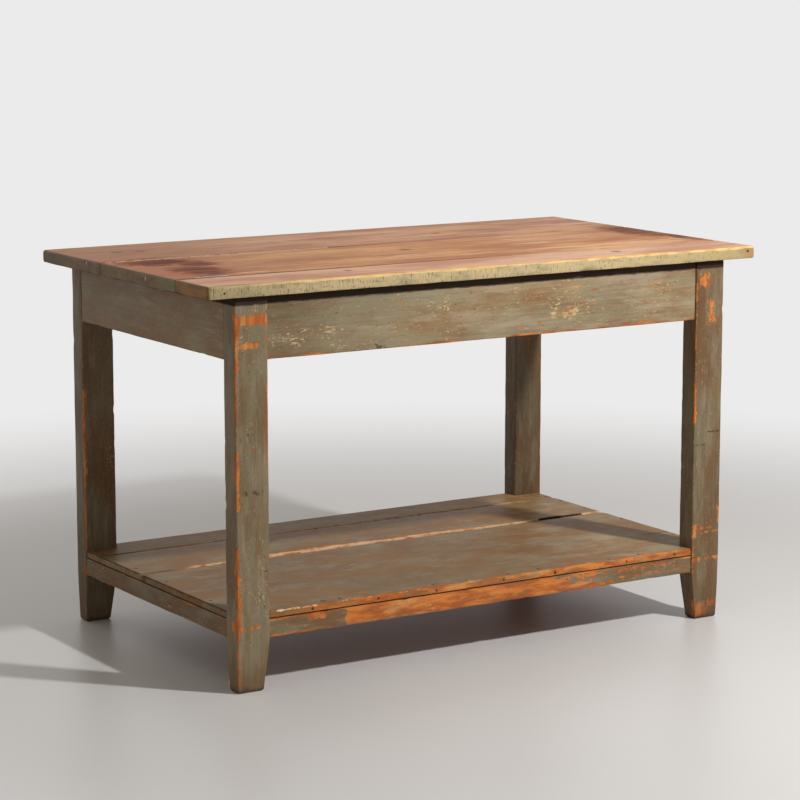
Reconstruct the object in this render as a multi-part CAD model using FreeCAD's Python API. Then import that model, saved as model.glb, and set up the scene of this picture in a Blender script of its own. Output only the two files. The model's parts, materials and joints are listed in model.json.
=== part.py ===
import FreeCAD, Part
import os
from math import sqrt

# Painted kitchen work table with a low shelf in front and two drawers on its far long side.
# Millimetres. X runs along the front from left to right, Y from the front to the far side, Z up.
# The origin lies on the floor, in the middle of the box that holds the table.

# Top
height = 770.0
top_length = 1263.0
top_depth = 708.0
top_thickness = 25.0
top_front_board = 126.0
top_back_board = 269.0
top_board_gap = 0.6
top_corner = 6.0
top_upper_arris = 3.0
top_lower_arris = 1.5
overhang_left = 60.0
overhang_right = 69.0
overhang_front = 13.0
overhang_back = 9.0

# Legs
leg_width = 70.0
leg_depth = 44.0
leg_arris = 2.0
foot_taper_inside_x = 13.0
foot_taper_inside_y = 8.0
foot_taper_outside = 2.5
foot_chamfer = 3.0

# Aprons
apron_height = 120.0
apron_thickness = 22.0
apron_recess = 5.0
end_recess = 1.0
rail_arris = 1.5

# Shelf
shelf_height = 151.0
shelf_thickness = 15.0
shelf_middle_board = 182.0
shelf_back_board = 92.0
shelf_board_gap = 0.8
shelf_front_recess = 3.0
shelf_back_recess = 8.0
shelf_left_recess = 2.0
shelf_right_recess = 8.0
shelf_front_arris = 4.0
shelf_back_arris = 1.5
shelf_notch_gap = 1.0
shelf_rail_height = 36.0
shelf_rail_thickness = 30.0
shelf_rail_recess = 4.0

# Mortise and tenon joints
tenon_thickness = 10.0
tenon_gap = 1.0
mortise_wall = 8.0
apron_shoulder = 10.0
shelf_rail_shoulder = 4.0

# Drawer rails, divider and carriers on the far side
drawer_rail_depth = 44.0
drawer_rail_shoulder = 8.0
upper_rail_thickness = 20.0
lower_rail_thickness = 22.0
divider_width = 40.0
divider_tenon = 8.0
divider_shoulder = 12.0
runner_thickness = 18.0
runner_bearing_width = 20.0
carrier_tongue = 8.0
carrier_tongue_thickness = 10.0
carrier_tongue_shoulder = 4.0
guide_height = 30.0
stop_width = 40.0
stop_depth = 18.0
stop_height = 5.0
stop_gap = 0.2

# Drawers
drawer_length = 500.0
drawer_front_thickness = 20.0
drawer_side_thickness = 12.0
drawer_back_thickness = 12.0
drawer_bottom_thickness = 6.0
drawer_bottom_rise = 8.0
drawer_groove = 4.0
drawer_back_inset = 10.0
drawer_back_drop = 6.0
drawer_side_drop = 4.0
drawer_lap = 8.0
drawer_side_clearance = 1.0
drawer_head_clearance = 1.5
drawer_runner_clearance = 0.2
tails_per_corner = 2
tail_root = 20.0
tail_flare = 2.0

# Turned knobs
knob_diameter = 34.0
knob_projection = 24.0
knob_foot_diameter = 24.0
knob_neck_diameter = 16.0
knob_neck_height = 7.0
knob_rim_height = 19.0
knob_rim_band = 5.0
knob_crown_diameter = 20.0
knob_spigot_diameter = 12.0
knob_fit = 0.05

# Cut nails that hold the shelf
nail_width = 3.2
nail_head_width = 7.0
nail_head_height = 1.2
nail_length = 32.0
nails_per_long_rail = 4
nail_end_share = 0.25
nail_fit = 0.05

V = FreeCAD.Vector

# Places that follow from the sizes
knob_reach = max(0.0, knob_projection - apron_recess - overhang_back)
top_left = -top_length / 2
top_right = top_length / 2
top_front = -(top_depth + knob_reach) / 2
top_back = top_front + top_depth
under_top = height - top_thickness
leg_left = top_left + overhang_left
leg_right = top_right - overhang_right
leg_front = top_front + overhang_front
leg_back = top_back - overhang_back
inner_left = leg_left + leg_width
inner_right = leg_right - leg_width
inner_front = leg_front + leg_depth
inner_back = leg_back - leg_depth
leg_left_x = (leg_left, inner_left)
leg_right_x = (inner_right, leg_right)
leg_front_y = (leg_front, inner_front)
leg_back_y = (inner_back, leg_back)
middle_x = (leg_left + leg_right) / 2
apron_bottom = under_top - apron_height
shelf_bottom = shelf_height - shelf_thickness
shelf_rail_bottom = shelf_bottom - shelf_rail_height
apron_back_face = leg_front + apron_recess + apron_thickness
apron_inside_left = leg_left + end_recess + apron_thickness
drawer_face = leg_back - apron_recess
drawer_rail_inside = drawer_face - drawer_rail_depth
runner_top = apron_bottom + lower_rail_thickness
kicker_bottom = under_top - upper_rail_thickness


def grow(span, amount):
    """A span that is longer by the amount at both ends."""
    return (span[0] - amount, span[1] + amount)


def centred(span, width):
    """The stretch of the given width in the middle of a span."""
    middle = (span[0] + span[1]) / 2
    return (middle - width / 2, middle + width / 2)


def mirrored(span):
    """The same span on the other side of the table's middle."""
    return (2 * middle_x - span[1], 2 * middle_x - span[0])


def block(x, y, z):
    """A straight piece of timber between three pairs of faces."""
    return Part.makeBox(x[1] - x[0], y[1] - y[0], z[1] - z[0], V(x[0], y[0], z[0]))


def joined(*shapes):
    """One solid made of pieces that touch or overlap."""
    return shapes[0].multiFuse(list(shapes[1:])).removeSplitter()


def eased(shape, radius, wanted):
    """The shape with round arrises on the edges whose middle is wanted."""
    edges = [edge for edge in shape.Edges if wanted(edge.CenterOfMass)]
    return shape.makeFillet(radius, edges)


def same(a, b):
    """Whether two places agree but for rounding."""
    return abs(a - b) < 1e-6


def level(z):
    """A test for edges that lie wholly at one height."""
    return lambda middle: same(middle.z, z)


def rounded_outline(x, y, z, radius):
    """A closed rectangle with round corners at one height."""
    sagitta = radius * (1 - sqrt(0.5))
    corners = [(x[1], y[0], 1, -1), (x[1], y[1], 1, 1), (x[0], y[1], -1, 1), (x[0], y[0], -1, -1)]
    arcs = []
    for cx, cy, sx, sy in corners:
        on_x = V(cx - sx * radius, cy, z)
        on_y = V(cx, cy - sy * radius, z)
        bulge = V(cx - sx * sagitta, cy - sy * sagitta, z)
        ends = (on_x, on_y) if sx * sy < 0 else (on_y, on_x)
        arcs.append(Part.Arc(ends[0], bulge, ends[1]).toShape())
    edges = []
    for arc, following in zip(arcs, arcs[1:] + arcs[:1]):
        edges.append(arc)
        edges.append(Part.makeLine(arc.Vertexes[-1].Point, following.Vertexes[0].Point))
    return Part.Wire(Part.__sortEdges__(edges))


def make_leg(x, y, inside_x, inside_y):
    """A leg with a tapered foot. inside_x and inside_y point from the leg into the table."""
    taper_x = (foot_taper_outside, foot_taper_inside_x)
    taper_y = (foot_taper_outside, foot_taper_inside_y)
    if inside_x < 0:
        taper_x = taper_x[::-1]
    if inside_y < 0:
        taper_y = taper_y[::-1]
    sole_x = (x[0] + taper_x[0], x[1] - taper_x[1])
    sole_y = (y[0] + taper_y[0], y[1] - taper_y[1])
    sole = rounded_outline(grow(sole_x, -foot_chamfer), grow(sole_y, -foot_chamfer), 0, leg_arris)
    toe = rounded_outline(sole_x, sole_y, foot_chamfer, leg_arris)
    ankle = rounded_outline(x, y, shelf_rail_bottom, leg_arris)
    foot = Part.makeLoft([sole, toe, ankle], True, True)
    post = Part.Face(ankle).extrude(V(0, 0, under_top - shelf_rail_bottom))
    return joined(foot, post)


def long_tenon(thickness):
    """How far a rail along the front or back enters a leg before the end rail's tenon."""
    return leg_width - end_recess - (thickness + tenon_thickness) / 2 - mortise_wall


def long_rail(y, z, shoulder):
    """A rail on edge between a left and a right leg, and the tenon that runs through it."""
    body = block((inner_left, inner_right), y, z)
    body = eased(body, rail_arris, lambda m: same(m.z, z[0]) and same(m.x, middle_x))
    tenon_x = grow((inner_left, inner_right), long_tenon(y[1] - y[0]))
    tenon = (tenon_x, centred(y, tenon_thickness), grow(z, -shoulder))
    return joined(body, block(*tenon)), tenon


def end_rail(x, z, shoulder):
    """A rail on edge between a front and a back leg, and the tenon that runs through it."""
    body = block(x, (inner_front, inner_back), z)
    middle_y = (inner_front + inner_back) / 2
    body = eased(body, rail_arris, lambda m: same(m.z, z[0]) and same(m.y, middle_y))
    tenon_y = grow((inner_front, inner_back), leg_depth - mortise_wall)
    tenon = (centred(x, tenon_thickness), tenon_y, grow(z, -shoulder))
    return joined(body, block(*tenon)), tenon


def flat_rail(z):
    """A drawer rail lying flat between the back legs, and its tenon."""
    y = (drawer_rail_inside, drawer_face)
    body = block((inner_left, inner_right), y, z)
    tenon_x = grow((inner_left, inner_right), long_tenon(apron_thickness))
    tenon = (tenon_x, grow(y, -drawer_rail_shoulder), centred(z, tenon_thickness))
    return joined(body, block(*tenon)), tenon


def mortise(tenon, along):
    """The pocket for a tenon: a little longer than the tenon along its own axis."""
    spans = list(tenon)
    spans[along] = grow(spans[along], tenon_gap)
    return block(*spans)


def carrier(x, bearing_x, z):
    """A runner or kicker from the front apron to a drawer rail, cut round the front leg."""
    body = block(x, (apron_back_face, drawer_rail_inside), z)
    for leg_x in (leg_left_x, leg_right_x):
        body = body.cut(block(leg_x, leg_front_y, z))
    tongue_y = grow((apron_back_face, drawer_rail_inside), carrier_tongue)
    tongue = (grow(bearing_x, -carrier_tongue_shoulder), tongue_y, centred(z, carrier_tongue_thickness))
    return joined(body, block(*tongue)), tongue


def make_nail(x, y, extra):
    """A square cut nail driven flush into the shelf, or with extra its hole."""
    head = nail_head_width + 2 * extra
    shank = nail_width + 2 * extra
    top = (shelf_height - nail_head_height, shelf_height)
    stem = (shelf_height - nail_length, shelf_height)
    return joined(block(centred((x, x), head), centred((y, y), head), top),
                  block(centred((x, x), shank), centred((y, y), shank), stem))


def make_knob(x, z):
    """A turned knob with a spigot that goes through the drawer front."""
    inside = drawer_face - drawer_front_thickness
    radius_and_place = [
        (0, inside),
        (knob_spigot_diameter / 2, inside),
        (knob_spigot_diameter / 2, drawer_face),
        (knob_foot_diameter / 2, drawer_face),
        (knob_neck_diameter / 2, drawer_face + knob_neck_height),
        (knob_diameter / 2, drawer_face + knob_rim_height - knob_rim_band),
        (knob_diameter / 2, drawer_face + knob_rim_height),
        (knob_crown_diameter / 2, drawer_face + knob_projection),
        (0, drawer_face + knob_projection),
    ]
    points = [V(radius, place, 0) for radius, place in radius_and_place]
    knob = Part.Face(Part.makePolygon(points + points[:1])).revolve(V(0, 0, 0), V(0, 1, 0), 360)
    knob.translate(V(x, 0, z))
    return knob


def dovetails(x, z):
    """The tails on the front end of a drawer side, as separate prisms."""
    root_y = drawer_face - drawer_front_thickness
    end_y = drawer_face - drawer_lap
    pitch = (z[1] - z[0]) / tails_per_corner
    tails = []
    for number in range(tails_per_corner):
        middle = z[0] + (number + 0.5) * pitch
        root = tail_root / 2
        end = root + tail_flare
        points = [V(x[0], root_y, middle - root), V(x[0], end_y, middle - end),
                  V(x[0], end_y, middle + end), V(x[0], root_y, middle + root)]
        outline = Part.makePolygon(points + points[:1])
        tails.append(Part.Face(outline).extrude(V(x[1] - x[0], 0, 0)))
    return tails


def make_drawer(opening_x):
    """The six pieces of one drawer that fills an opening between the drawer rails."""
    x = grow(opening_x, -drawer_side_clearance)
    z = (runner_top + drawer_runner_clearance, kicker_bottom - drawer_head_clearance)
    front_inside = drawer_face - drawer_front_thickness
    rear = drawer_face - drawer_length
    side_z = (z[0], z[1] - drawer_side_drop)
    left_x = (x[0], x[0] + drawer_side_thickness)
    right_x = (x[1] - drawer_side_thickness, x[1])
    housed_x = grow((left_x[1], right_x[0]), drawer_groove)
    bottom_z = (z[0] + drawer_bottom_rise, z[0] + drawer_bottom_rise + drawer_bottom_thickness)
    bottom = block(housed_x, (rear, front_inside + drawer_groove), bottom_z)
    back_y = (rear + drawer_back_inset, rear + drawer_back_inset + drawer_back_thickness)
    back = block(housed_x, back_y, (bottom_z[1], side_z[1] - drawer_back_drop))
    front = block(x, (front_inside, drawer_face), z)
    sides = []
    for side_x in (left_x, right_x):
        tails = dovetails(side_x, side_z)
        front = front.cut(joined(*tails))
        side = joined(block(side_x, (rear, front_inside), side_z), *tails)
        sides.append(side.cut(bottom).cut(back))
    knob_x = (x[0] + x[1]) / 2
    knob_z = (z[0] + z[1]) / 2
    bore = Part.makeCylinder(knob_spigot_diameter / 2 + knob_fit, drawer_front_thickness,
                             V(knob_x, front_inside, knob_z), V(0, 1, 0))
    front = front.cut(bottom).cut(bore)
    return {"front": front, "side_left": sides[0], "side_right": sides[1], "back": back,
            "bottom": bottom, "knob": make_knob(knob_x, knob_z)}


pieces = {}

# Aprons and shelf rails, each with the pocket that its tenon needs
pockets = []
apron_z = (apron_bottom, under_top)
shelf_rail_z = (shelf_rail_bottom, shelf_bottom)
apron_left_x = (leg_left + end_recess, apron_inside_left)
apron_front_y = (leg_front + apron_recess, apron_back_face)
rail_left_x = (leg_left + end_recess, leg_left + end_recess + shelf_rail_thickness)
rail_front_y = (leg_front + shelf_rail_recess, leg_front + shelf_rail_recess + shelf_rail_thickness)
rail_back_y = (leg_back - shelf_rail_recess - shelf_rail_thickness, leg_back - shelf_rail_recess)

long_rails = {
    "apron_front": long_rail(apron_front_y, apron_z, apron_shoulder),
    "shelf_rail_front": long_rail(rail_front_y, shelf_rail_z, shelf_rail_shoulder),
    "shelf_rail_back": long_rail(rail_back_y, shelf_rail_z, shelf_rail_shoulder),
    "drawer_rail_upper": flat_rail((kicker_bottom, under_top)),
    "drawer_rail_lower": flat_rail((apron_bottom, runner_top)),
}
end_rails = {
    "apron_left": end_rail(apron_left_x, apron_z, apron_shoulder),
    "apron_right": end_rail(mirrored(apron_left_x), apron_z, apron_shoulder),
    "shelf_rail_left": end_rail(rail_left_x, shelf_rail_z, shelf_rail_shoulder),
    "shelf_rail_right": end_rail(mirrored(rail_left_x), shelf_rail_z, shelf_rail_shoulder),
}
for along, rails in ((0, long_rails), (1, end_rails)):
    for name, (rail, tenon) in rails.items():
        pieces[name] = rail
        pockets.append(mortise(tenon, along))

# Legs with the pockets cut into them
for side, leg_x, inside_x in (("left", leg_left_x, 1), ("right", leg_right_x, -1)):
    for row, leg_y, inside_y in (("front", leg_front_y, 1), ("back", leg_back_y, -1)):
        leg = make_leg(leg_x, leg_y, inside_x, inside_y)
        for pocket in pockets:
            leg = leg.cut(pocket)
        pieces[f"leg_{row}_{side}"] = leg

# Divider between the drawers, with stub tenons into both drawer rails
divider_x = centred((leg_left, leg_right), divider_width)
divider_y = (drawer_rail_inside, drawer_face)
divider_z = (runner_top, kicker_bottom)
divider_stub = (centred(divider_x, tenon_thickness), grow(divider_y, -divider_shoulder),
                grow(divider_z, divider_tenon))
pieces["drawer_divider"] = joined(block(divider_x, divider_y, divider_z), block(*divider_stub))
for name in ("drawer_rail_upper", "drawer_rail_lower"):
    pieces[name] = pieces[name].cut(mortise(divider_stub, 2))

# Runners under the drawers, guides beside them and kickers over them
left_carrier_x = (apron_inside_left, inner_left + runner_bearing_width)
left_bearing_x = (inner_left, inner_left + runner_bearing_width)
centre_carrier_x = grow(divider_x, runner_bearing_width)
carrier_places = {
    "left": (left_carrier_x, left_bearing_x),
    "centre": (centre_carrier_x, centre_carrier_x),
    "right": (mirrored(left_carrier_x), mirrored(left_bearing_x)),
}
carrier_levels = {
    "runner": ((runner_top - runner_thickness, runner_top), "drawer_rail_lower"),
    "kicker": ((kicker_bottom, under_top), "drawer_rail_upper"),
}
for place, (carrier_x, bearing_x) in carrier_places.items():
    for kind, (carrier_z, rail_name) in carrier_levels.items():
        piece, tongue = carrier(carrier_x, bearing_x, carrier_z)
        pieces[f"{kind}_{place}"] = piece
        for name in ("apron_front", rail_name):
            pieces[name] = pieces[name].cut(mortise(tongue, 1))
guide_z = (runner_top, runner_top + guide_height)
left_guide_x = (apron_inside_left, inner_left)
pieces["guide_left"] = block(left_guide_x, (inner_front, inner_back), guide_z)
pieces["guide_right"] = block(mirrored(left_guide_x), (inner_front, inner_back), guide_z)
pieces["guide_centre"] = block(divider_x, (apron_back_face, drawer_rail_inside), guide_z)

# Drawers and the stops that end their way in
openings = {"left": (inner_left, divider_x[0]), "right": (divider_x[1], inner_right)}
stop_end = drawer_face - drawer_front_thickness - stop_gap
stops = []
for side, opening_x in openings.items():
    for name, piece in make_drawer(opening_x).items():
        pieces[f"drawer_{side}_{name}"] = piece
    half = (opening_x[0] + opening_x[1]) / 2
    for stop_span in ((opening_x[0], half), (half, opening_x[1])):
        stop_y = (stop_end - stop_depth, stop_end)
        stops.append(block(centred(stop_span, stop_width), stop_y, (runner_top, runner_top + stop_height)))
pieces["drawer_stops"] = Part.makeCompound(stops)

# Top boards, cut from one slab with round outer arrises
top_slab = Part.Face(rounded_outline((top_left, top_right), (top_front, top_back), under_top, top_corner))
top_slab = top_slab.extrude(V(0, 0, top_thickness))
top_slab = eased(top_slab, top_upper_arris, level(height))
top_slab = eased(top_slab, top_lower_arris, level(under_top))
front_seam = top_front + top_front_board
back_seam = top_back - top_back_board
top_spans = {
    "front": (top_front, front_seam),
    "middle": (front_seam + top_board_gap, back_seam - top_board_gap),
    "back": (back_seam, top_back),
}
for row, span in top_spans.items():
    pieces[f"top_board_{row}"] = top_slab.common(block((top_left, top_right), span, (under_top, height)))

# Shelf boards, cut from one slab with notches for the legs
shelf_x = (leg_left + shelf_left_recess, leg_right - shelf_right_recess)
shelf_y = (leg_front + shelf_front_recess, leg_back - shelf_back_recess)
shelf_z = (shelf_bottom, shelf_height)
shelf_slab = block(shelf_x, shelf_y, shelf_z)
for edge_y, radius in ((shelf_y[0], shelf_front_arris), (shelf_y[1], shelf_back_arris)):
    shelf_slab = eased(shelf_slab, radius, lambda m: same(m.z, shelf_height) and same(m.y, edge_y))
for leg_x in (leg_left_x, leg_right_x):
    for leg_y in (leg_front_y, leg_back_y):
        notch = block(grow(leg_x, shelf_notch_gap), grow(leg_y, shelf_notch_gap), shelf_z)
        shelf_slab = shelf_slab.cut(notch)
shelf_seam_back = shelf_y[1] - shelf_back_board
shelf_seam_front = shelf_seam_back - shelf_middle_board
shelf_spans = {
    "front": (shelf_y[0], shelf_seam_front),
    "middle": (shelf_seam_front + shelf_board_gap, shelf_seam_back - shelf_board_gap),
    "back": (shelf_seam_back, shelf_y[1]),
}
end_nail_x = (sum(rail_left_x) / 2, sum(mirrored(rail_left_x)) / 2)
nail_step = (inner_right - inner_left) / nails_per_long_rail
long_nail_x = [inner_left + (number + 0.5) * nail_step for number in range(nails_per_long_rail)]
long_nail_y = {"front": sum(rail_front_y) / 2, "back": sum(rail_back_y) / 2}
nails = []
for row, span in shelf_spans.items():
    board = shelf_slab.common(block(shelf_x, span, shelf_z))
    clear = (max(span[0], inner_front), min(span[1], inner_back))
    inset = (clear[1] - clear[0]) * nail_end_share
    places = [(x, y) for x in end_nail_x for y in (clear[0] + inset, clear[1] - inset)]
    if row in long_nail_y:
        places += [(x, long_nail_y[row]) for x in long_nail_x]
    for nail_x, nail_y in places:
        nails.append(make_nail(nail_x, nail_y, 0))
        hole = make_nail(nail_x, nail_y, nail_fit)
        board = board.cut(hole)
        for name in ("left", "right", "front", "back"):
            pieces[f"shelf_rail_{name}"] = pieces[f"shelf_rail_{name}"].cut(hole)
    pieces[f"shelf_board_{row}"] = board
pieces["shelf_nails"] = Part.makeCompound(nails)

os.makedirs("parts", exist_ok=True)
for name, shape in pieces.items():
    shape.exportStep(f"parts/{name}.step")
    solids = len(shape.Solids)
    print(f"{name}: {solids} solid(s), {shape.Volume / 1000:.1f} cm3, valid {shape.isValid()}")
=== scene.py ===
# %% [markdown]
# # A painted kitchen table with a low shelf
# The table is plain joinery: four legs, aprons, a low shelf, a top of three pine boards, and two
# drawers on its far side. Its solids come from a CAD program and stay as they are. This lesson gives
# them their looks: an oiled top, grey green paint rubbed through to an older orange coat, raw pine
# where no brush ever came, and iron nails.

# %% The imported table
import json
from collections import namedtuple
from functools import cached_property, reduce
from math import pi, radians

import bmesh
import bpy
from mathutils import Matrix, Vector, noise

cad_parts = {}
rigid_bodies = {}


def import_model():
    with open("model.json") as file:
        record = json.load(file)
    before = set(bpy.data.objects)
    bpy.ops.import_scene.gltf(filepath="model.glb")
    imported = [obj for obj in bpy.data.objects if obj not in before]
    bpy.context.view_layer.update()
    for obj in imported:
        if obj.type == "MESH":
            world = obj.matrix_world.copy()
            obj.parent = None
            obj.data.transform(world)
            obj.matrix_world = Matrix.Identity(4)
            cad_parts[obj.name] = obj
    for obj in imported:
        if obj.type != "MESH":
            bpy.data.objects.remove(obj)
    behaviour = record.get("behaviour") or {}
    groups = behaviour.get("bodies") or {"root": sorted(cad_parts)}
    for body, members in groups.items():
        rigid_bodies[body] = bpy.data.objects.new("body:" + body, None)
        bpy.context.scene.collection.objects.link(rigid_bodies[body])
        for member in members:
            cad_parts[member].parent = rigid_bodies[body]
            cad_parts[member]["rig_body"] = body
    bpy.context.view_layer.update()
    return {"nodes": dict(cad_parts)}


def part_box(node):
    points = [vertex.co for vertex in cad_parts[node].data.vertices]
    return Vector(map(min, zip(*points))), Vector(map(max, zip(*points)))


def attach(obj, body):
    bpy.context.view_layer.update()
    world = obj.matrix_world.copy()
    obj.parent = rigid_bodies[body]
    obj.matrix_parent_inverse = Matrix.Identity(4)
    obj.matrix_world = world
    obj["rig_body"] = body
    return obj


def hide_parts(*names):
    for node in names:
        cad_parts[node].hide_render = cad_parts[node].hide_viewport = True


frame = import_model()
nodes = frame["nodes"]

# %% [markdown]
# ## Camera
# The view is from the front left and a little above, with a long lens, so the table's edges hardly
# converge. A camera could be aimed with a constraint, but two angles and a place, written down, give
# the same frame every time.

# %% Camera
camera = bpy.data.objects.new("camera", bpy.data.cameras.new("camera"))
camera.data.sensor_width = 36.0
camera.data.lens = 122.65
camera.location = (-2.924, -4.663, 1.388)
camera.rotation_euler = (radians(80.39), 0, radians(-32.1))
bpy.context.scene.collection.objects.link(camera)
bpy.context.scene.camera = camera
print(f"camera {camera.location.length:.2f} m from the floor's middle under the table")

# %% [markdown]
# ## Studio
# A pale painted floor runs out into a pale room. A backdrop close behind the table would hide it from
# the back, so the floor itself fades into the room's colour. Only the camera and mirror-like rays see
# that pale colour, so it adds no light of its own: one soft lamp in front and to the right, a weak wide
# one behind, and an even sky do that.

# %% Colours and rays
def srgb(red, green, blue):
    """A colour as it looks on a screen, from 0 to 255, turned into the linear values that shaders use."""
    parts = [part / 255 for part in (red, green, blue)]
    return tuple(p / 12.92 if p <= 0.04045 else ((p + 0.055) / 1.055) ** 2.4 for p in parts) + (1.0,)


def seen_directly(tree):
    """1 for camera, mirror and see-through rays, 0 for the rays that carry light."""
    path = tree.nodes.new("ShaderNodeLightPath")
    seen = path.outputs["Is Camera Ray"]
    for kind in ("Is Glossy Ray", "Is Transmission Ray"):
        either = tree.nodes.new("ShaderNodeMath")
        either.operation = "MAXIMUM"
        tree.links.new(seen, either.inputs[0])
        tree.links.new(path.outputs[kind], either.inputs[1])
        seen = either.outputs[0]
    return seen


ROOM = srgb(236, 235, 235)
print(f"the room's colour is {ROOM[0]:.3f}, {ROOM[1]:.3f}, {ROOM[2]:.3f} in linear values")

# %% The room
bpy.context.scene.view_settings.view_transform = "Standard"
world = bpy.data.worlds.new("room")
bpy.context.scene.world = world
world.use_nodes = True
sky = world.node_tree.nodes["Background"]
sky.inputs["Color"].default_value = (1.0, 0.93, 0.83, 1.0)
sky.inputs["Strength"].default_value = 0.27
backdrop = world.node_tree.nodes.new("ShaderNodeBackground")
backdrop.inputs["Color"].default_value = ROOM
mixed = world.node_tree.nodes.new("ShaderNodeMixShader")
sources = seen_directly(world.node_tree), sky.outputs[0], backdrop.outputs[0]
for source, socket in zip(sources, mixed.inputs):
    world.node_tree.links.new(source, socket)
world.node_tree.links.new(mixed.outputs[0], world.node_tree.nodes["World Output"].inputs["Surface"])
print(f"room with {len(world.node_tree.nodes)} nodes")

# %% Floor and lamps
REACH = 20.0
AIM = Vector((0, 0, 0.4))

corners = [(-REACH, -REACH, 0), (REACH, -REACH, 0), (REACH, REACH, 0), (-REACH, REACH, 0)]
floor_mesh = bpy.data.meshes.new("floor")
floor_mesh.from_pydata(corners, [], [(0, 1, 2, 3)])
floor = bpy.data.objects.new("floor", floor_mesh)
bpy.context.scene.collection.objects.link(floor)


def lamp(name, place, size, watts):
    """A square soft lamp that looks at the middle of the table."""
    made = bpy.data.objects.new(name, bpy.data.lights.new(name, "AREA"))
    made.data.size = size
    made.data.energy = watts
    made.location = place
    made.visible_camera = False
    made.rotation_euler = (AIM - made.location).to_track_quat("-Z", "Y").to_euler()
    bpy.context.scene.collection.objects.link(made)
    print(f"{name}: {watts} W from {(AIM - made.location).length:.2f} m")


lamp("key", (1.12, -2.2, 2.35), 0.15, 76)
lamp("fill", (-0.8, 2.9, 1.5), 2.0, 9)

# %% [markdown]
# ## A way to write materials
# A painted surface is many small rules: darker here, rubbed there. Each rule is a number that changes
# over the surface, and in Blender each sum of two such numbers is a node. Wiring hundreds of nodes by
# hand is slow to read, so a small class lets plain arithmetic add the nodes.

# %% Fields
def put(value, socket):
    """Link an output to a socket, or write a plain value there."""
    value = getattr(value, "socket", value)
    if isinstance(value, bpy.types.NodeSocket):
        socket.id_data.links.new(value, socket)
    else:
        socket.default_value = value


class Field:
    """A number that changes over a surface. Arithmetic on it adds Math nodes."""

    def __init__(self, socket):
        self.socket = socket

    def math(self, operation, *others):
        node = self.socket.id_data.nodes.new("ShaderNodeMath")
        node.operation = operation
        for value, socket in zip((self, *others), node.inputs):
            put(value, socket)
        return Field(node.outputs[0])

    def __add__(self, other):
        return self.math("ADD", other)

    def __sub__(self, other):
        return self.math("SUBTRACT", other)

    def __mul__(self, other):
        return self.math("MULTIPLY", other)

    def __rsub__(self, other):
        return self.math("MULTIPLY_ADD", -1.0, other)

    def __abs__(self):
        return self.math("ABSOLUTE")

    def least(self, other):
        return self.math("MINIMUM", other)

    def most(self, other):
        return self.math("MAXIMUM", other)

    def rise(self, low, high):
        """0 before low, 1 after high, and a smooth slope between. It falls where low is the larger."""
        node = self.socket.id_data.nodes.new("ShaderNodeMapRange")
        node.interpolation_type = "SMOOTHSTEP"
        for value, socket in zip((self, low, high, 0.0, 1.0), node.inputs):
            put(value, socket)
        return Field(node.outputs[0])

    __radd__ = __add__


print("fields can be added, taken away, multiplied and compared")

# %% [markdown]
# A material then starts from the place of each point in the table's own metres. Noise, stretched along
# the wood's grain, gives everything uneven. What lies on the wood is a stack of coats, and each share
# says where the next coat covers the ones below.

# %% Coats on a surface
Coat = namedtuple("Coat", "colour rough height")


class Surface:
    """One material, read on Object coordinates."""

    def __init__(self, name, seed):
        self.material = bpy.data.materials.new(name)
        self.material.use_nodes = True
        self.tree = self.material.node_tree
        self.seed = seed
        self.place = self.add("ShaderNodeTexCoord").outputs["Object"]
        self.xyz = self.split(self.place)

    def add(self, kind, inputs=None, **settings):
        node = self.tree.nodes.new(kind)
        for key, value in settings.items():
            setattr(node, key, value)
        for key, value in (inputs or {}).items():
            put(value, node.inputs[key])
        return node

    def split(self, vector):
        """The three numbers of a vector."""
        return [Field(output) for output in self.add("ShaderNodeSeparateXYZ", {"Vector": vector}).outputs]

    def noise(self, scale, number, detail=4, rough=0.55):
        """Fractal noise with so many features per metre on each axis. Another number gives other noise."""
        shift = (self.seed * 5.7 + number * 1.9, number * 4.3 - self.seed * 2.1, self.seed * 3.3 + number)
        moved = self.add("ShaderNodeMapping", {"Vector": self.place, "Scale": scale, "Location": shift})
        made = self.add("ShaderNodeTexNoise", {"Vector": moved.outputs[0], "Scale": 1.0,
                                               "Detail": detail, "Roughness": rough})
        return Field(made.outputs[0])

    def blend(self, share, under, over):
        """A colour that goes from under to over with the share."""
        node = self.add("ShaderNodeMix", {0: share, 6: under, 7: over}, data_type="RGBA")
        return node.outputs[2]

    def shade(self, colour, amount):
        """A colour made lighter or darker."""
        return self.add("ShaderNodeVectorMath", {0: colour, 3: amount}, operation="SCALE").outputs[0]

    def layer(self, share, under, over):
        """One coat over another, showing where the share is 1."""
        return Coat(self.blend(share, under.colour, over.colour),
                    share * (over.rough - under.rough) + under.rough,
                    share * (over.height - under.height) + under.height)

    def finish(self, coat, shine=0.5):
        """Wire the coat to the shader. Its height is in metres."""
        shader = self.tree.nodes["Principled BSDF"]
        shader.inputs["Specular IOR Level"].default_value = shine
        put(coat.colour, shader.inputs["Base Color"])
        put(coat.rough, shader.inputs["Roughness"])
        bump = self.add("ShaderNodeBump", {"Height": coat.height, "Distance": 1.0})
        put(bump.outputs[0], shader.inputs["Normal"])
        return self.material


print(f"a coat has {', '.join(Coat._fields)}")

# %% [markdown]
# Wear sits in certain places: along an arris, or in a patch that is known. Vertex groups would need a
# denser mesh, so the places are boxes in metres. The distance to the nearest arris of a piece comes
# from its own box: of the three distances to its faces, one is nothing on the surface, and the middle
# one is the way to the nearest edge.

# %% Places on a finish
ALONG, ACROSS, UP = range(3)


def stretch(grain, along, across):
    """Noise features per metre along the grain and across it."""
    return tuple(along if axis == grain else across for axis in range(3))


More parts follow.
